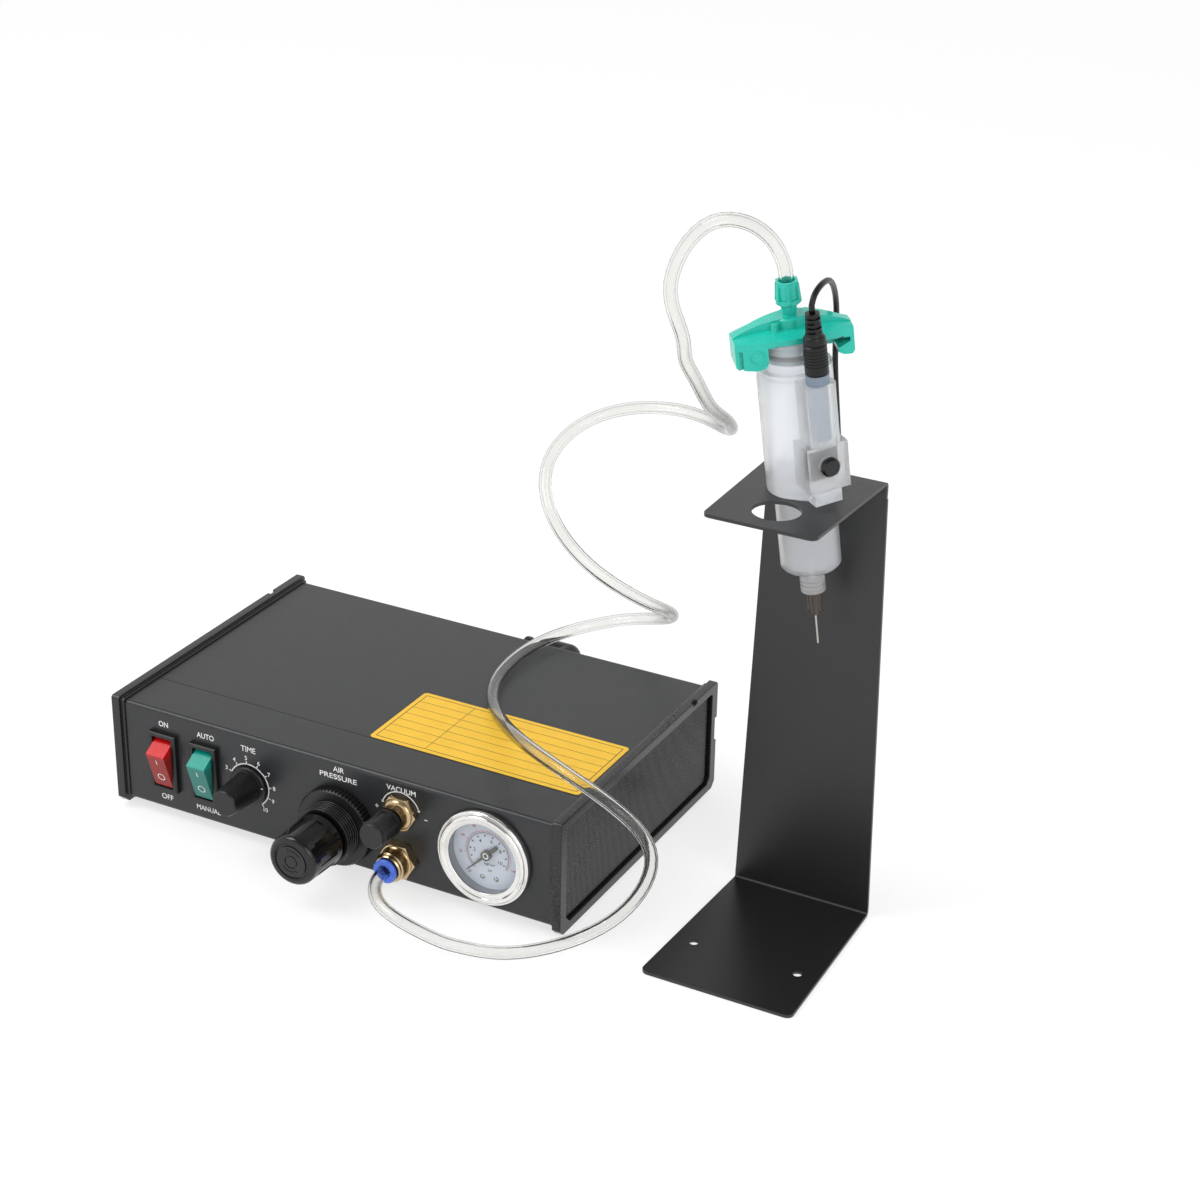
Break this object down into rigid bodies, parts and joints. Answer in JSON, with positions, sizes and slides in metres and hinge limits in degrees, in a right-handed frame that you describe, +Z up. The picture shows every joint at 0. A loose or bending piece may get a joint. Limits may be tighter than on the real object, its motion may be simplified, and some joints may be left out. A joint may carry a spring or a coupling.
{
  "type": "glue dispenser",
  "caption": "Timed air glue dispenser: sheet-metal controller with knobs, switches and gauge, a bent stand, and a syringe with finger switch on a clear air tube.",
  "frame": {"origin": "on the table, below the middle of the controller and stand taken together", "axes": "+Z up, -Y to the front panel, +X to the right; the stand is at +X"},
  "size_m": [0.352, 0.2188, 0.3245],
  "materials": {
    "case_paint": "fine black powder coat",
    "cheek_plastic": "black moulded plastic with fine ribs",
    "rubber": "black rubber",
    "steel": "bright zinc-plated steel",
    "black_gloss": "glossy black plastic",
    "black_matte": "matt black plastic",
    "red_rocker": "translucent red plastic",
    "green_rocker": "translucent green plastic",
    "brass": "bright turned brass",
    "blue_collar": "blue moulded plastic",
    "chrome": "polished chrome",
    "lens": "clear glass",
    "dial": "pale blue-grey printed dial",
    "pointer": "black",
    "board": "green circuit board with parts",
    "alloy": "machined aluminium",
    "hose_blue": "blue inner hose",
    "stand_paint": "satin black powder coat",
    "clear_barrel": "natural translucent polypropylene",
    "clear_housing": "clear moulded plastic",
    "jack_grey": "blue-grey plastic",
    "adapter_green": "green moulded plastic",
    "plug_grey": "grey-green plastic",
    "hub": "dark grey plastic",
    "needle_steel": "bright stainless tube",
    "tube_clear": "clear flexible tube",
    "cable_black": "black cable jacket"
  },
  "bodies": {
    "root": {"chassis": "case_paint", "rear_cover": "case_paint", "left_cheek": "cheek_plastic", "right_cheek": "cheek_plastic", "rubber_feet": "rubber", "case_screws": "steel", "power_switch_body": "black_matte", "mode_switch_body": "black_matte", "timer_potentiometer": "steel", "regulator_body": "black_gloss", "regulator_ring_nut": "black_matte", "vacuum_valve_body": "brass", "vacuum_panel_nut": "brass", "outlet_fitting": "brass", "outlet_nut": "brass", "gauge_case": "black_matte", "gauge_bezel": "chrome", "gauge_lens": "lens", "gauge_dial": "dial", "power_supply": "board", "timer_board": "board", "solenoid_valve": "alloy", "vacuum_ejector": "alloy", "inner_tubes": "hose_blue", "power_inlet": "black_matte", "fuse_holder": "black_matte", "trigger_socket": "steel", "inlet_fitting": "black_matte", "silencer": "brass", "stand": "stand_paint", "air_tube_lower": "tube_clear", "trigger_cable_lower": "cable_black", "trigger_coil": "cable_black", "coil_tie": "black_matte", "cable_plug": "cable_black"},
    "power_rocker": {"power_rocker": "red_rocker"},
    "mode_rocker": {"mode_rocker": "green_rocker"},
    "time_knob": {"timer_shaft": "steel", "time_knob": "black_matte"},
    "regulator_screw": {"regulator_screw": "brass"},
    "regulator_knob": {"regulator_knob": "black_gloss"},
    "vacuum_needle": {"vacuum_needle": "steel"},
    "vacuum_knob": {"vacuum_knob": "black_matte"},
    "release_collar": {"release_collar": "blue_collar"},
    "gauge_pointer": {"gauge_pointer": "pointer"},
    "syringe": {"barrel": "clear_barrel", "barrel_sleeve": "clear_housing", "trigger_housing": "clear_housing", "trigger_switch": "black_matte", "trigger_jack": "jack_grey", "needle_hub": "hub", "needle": "needle_steel", "air_tube_upper": "tube_clear", "trigger_plug": "cable_black", "trigger_cable_upper": "cable_black"},
    "trigger_button": {"trigger_button": "black_gloss"},
    "adapter": {"adapter_cap": "adapter_green", "adapter_plug": "plug_grey", "adapter_seal": "rubber", "tube_nut": "adapter_green"}
  },
  "joints": [
    {"name": "power_rocker_tilt", "type": "hinge", "parent": "root", "child": "power_rocker", "pos_m": [-0.148, -0.0627, 0.031], "axis": [-1, 0, 0], "range_deg": [0, 36]},
    {"name": "mode_rocker_tilt", "type": "hinge", "parent": "root", "child": "mode_rocker", "pos_m": [-0.125, -0.0627, 0.031], "axis": [-1, 0, 0], "range_deg": [0, 36]},
    {"name": "time_knob_turn", "type": "hinge", "parent": "root", "child": "time_knob", "pos_m": [-0.1005, -0.067, 0.0315], "axis": [0, 1, 0], "range_deg": [-245, 60]},
    {"name": "regulator_screw_turn", "type": "hinge", "parent": "root", "child": "regulator_screw", "pos_m": [-0.0518, -0.067, 0.0253], "axis": [0, 1, 0], "range_deg": [0, 1440]},
    {"name": "regulator_knob_pull", "type": "slide", "parent": "regulator_screw", "child": "regulator_knob", "axis": [0, -1, 0], "range_m": [0, 0.0025]},
    {"name": "vacuum_needle_lift", "type": "slide", "parent": "root", "child": "vacuum_needle", "axis": [0, -1, 0], "range_m": [0, 0.0015]},
    {"name": "vacuum_knob_turn", "type": "hinge", "parent": "vacuum_needle", "child": "vacuum_knob", "pos_m": [-0.0185, -0.067, 0.041], "axis": [0, -1, 0], "range_deg": [0, 720]},
    {"name": "release_collar_press", "type": "slide", "parent": "root", "child": "release_collar", "axis": [0, 1, 0], "range_m": [0, 0.0007], "stiffness_N_per_m": 400},
    {"name": "gauge_pointer_turn", "type": "hinge", "parent": "root", "child": "gauge_pointer", "pos_m": [0.0253, -0.067, 0.0315], "axis": [0, 1, 0], "range_deg": [0, 270], "stiffness_Nm_per_rad": 0.0005},
    {"name": "syringe_lift", "type": "slide", "parent": "root", "child": "syringe", "axis": [-0.0901, -0.1115, 0.9897], "range_m": [0, 0.095]},
    {"name": "trigger_button_press", "type": "slide", "parent": "syringe", "child": "trigger_button", "axis": [-0.7694, 0.6388, 0.0019], "range_m": [0, 0.0008], "stiffness_N_per_m": 800},
    {"name": "adapter_turn", "type": "hinge", "parent": "syringe", "child": "adapter", "pos_m": [0.1401, -0.0046, 0.2113], "axis": [-0.0901, -0.1115, 0.9897], "range_deg": [0, 45]}
  ],
  "couplings": [
    {"joint": "vacuum_knob_turn", "follows": "vacuum_needle_lift", "rad_per_m": 8377}
  ]
}
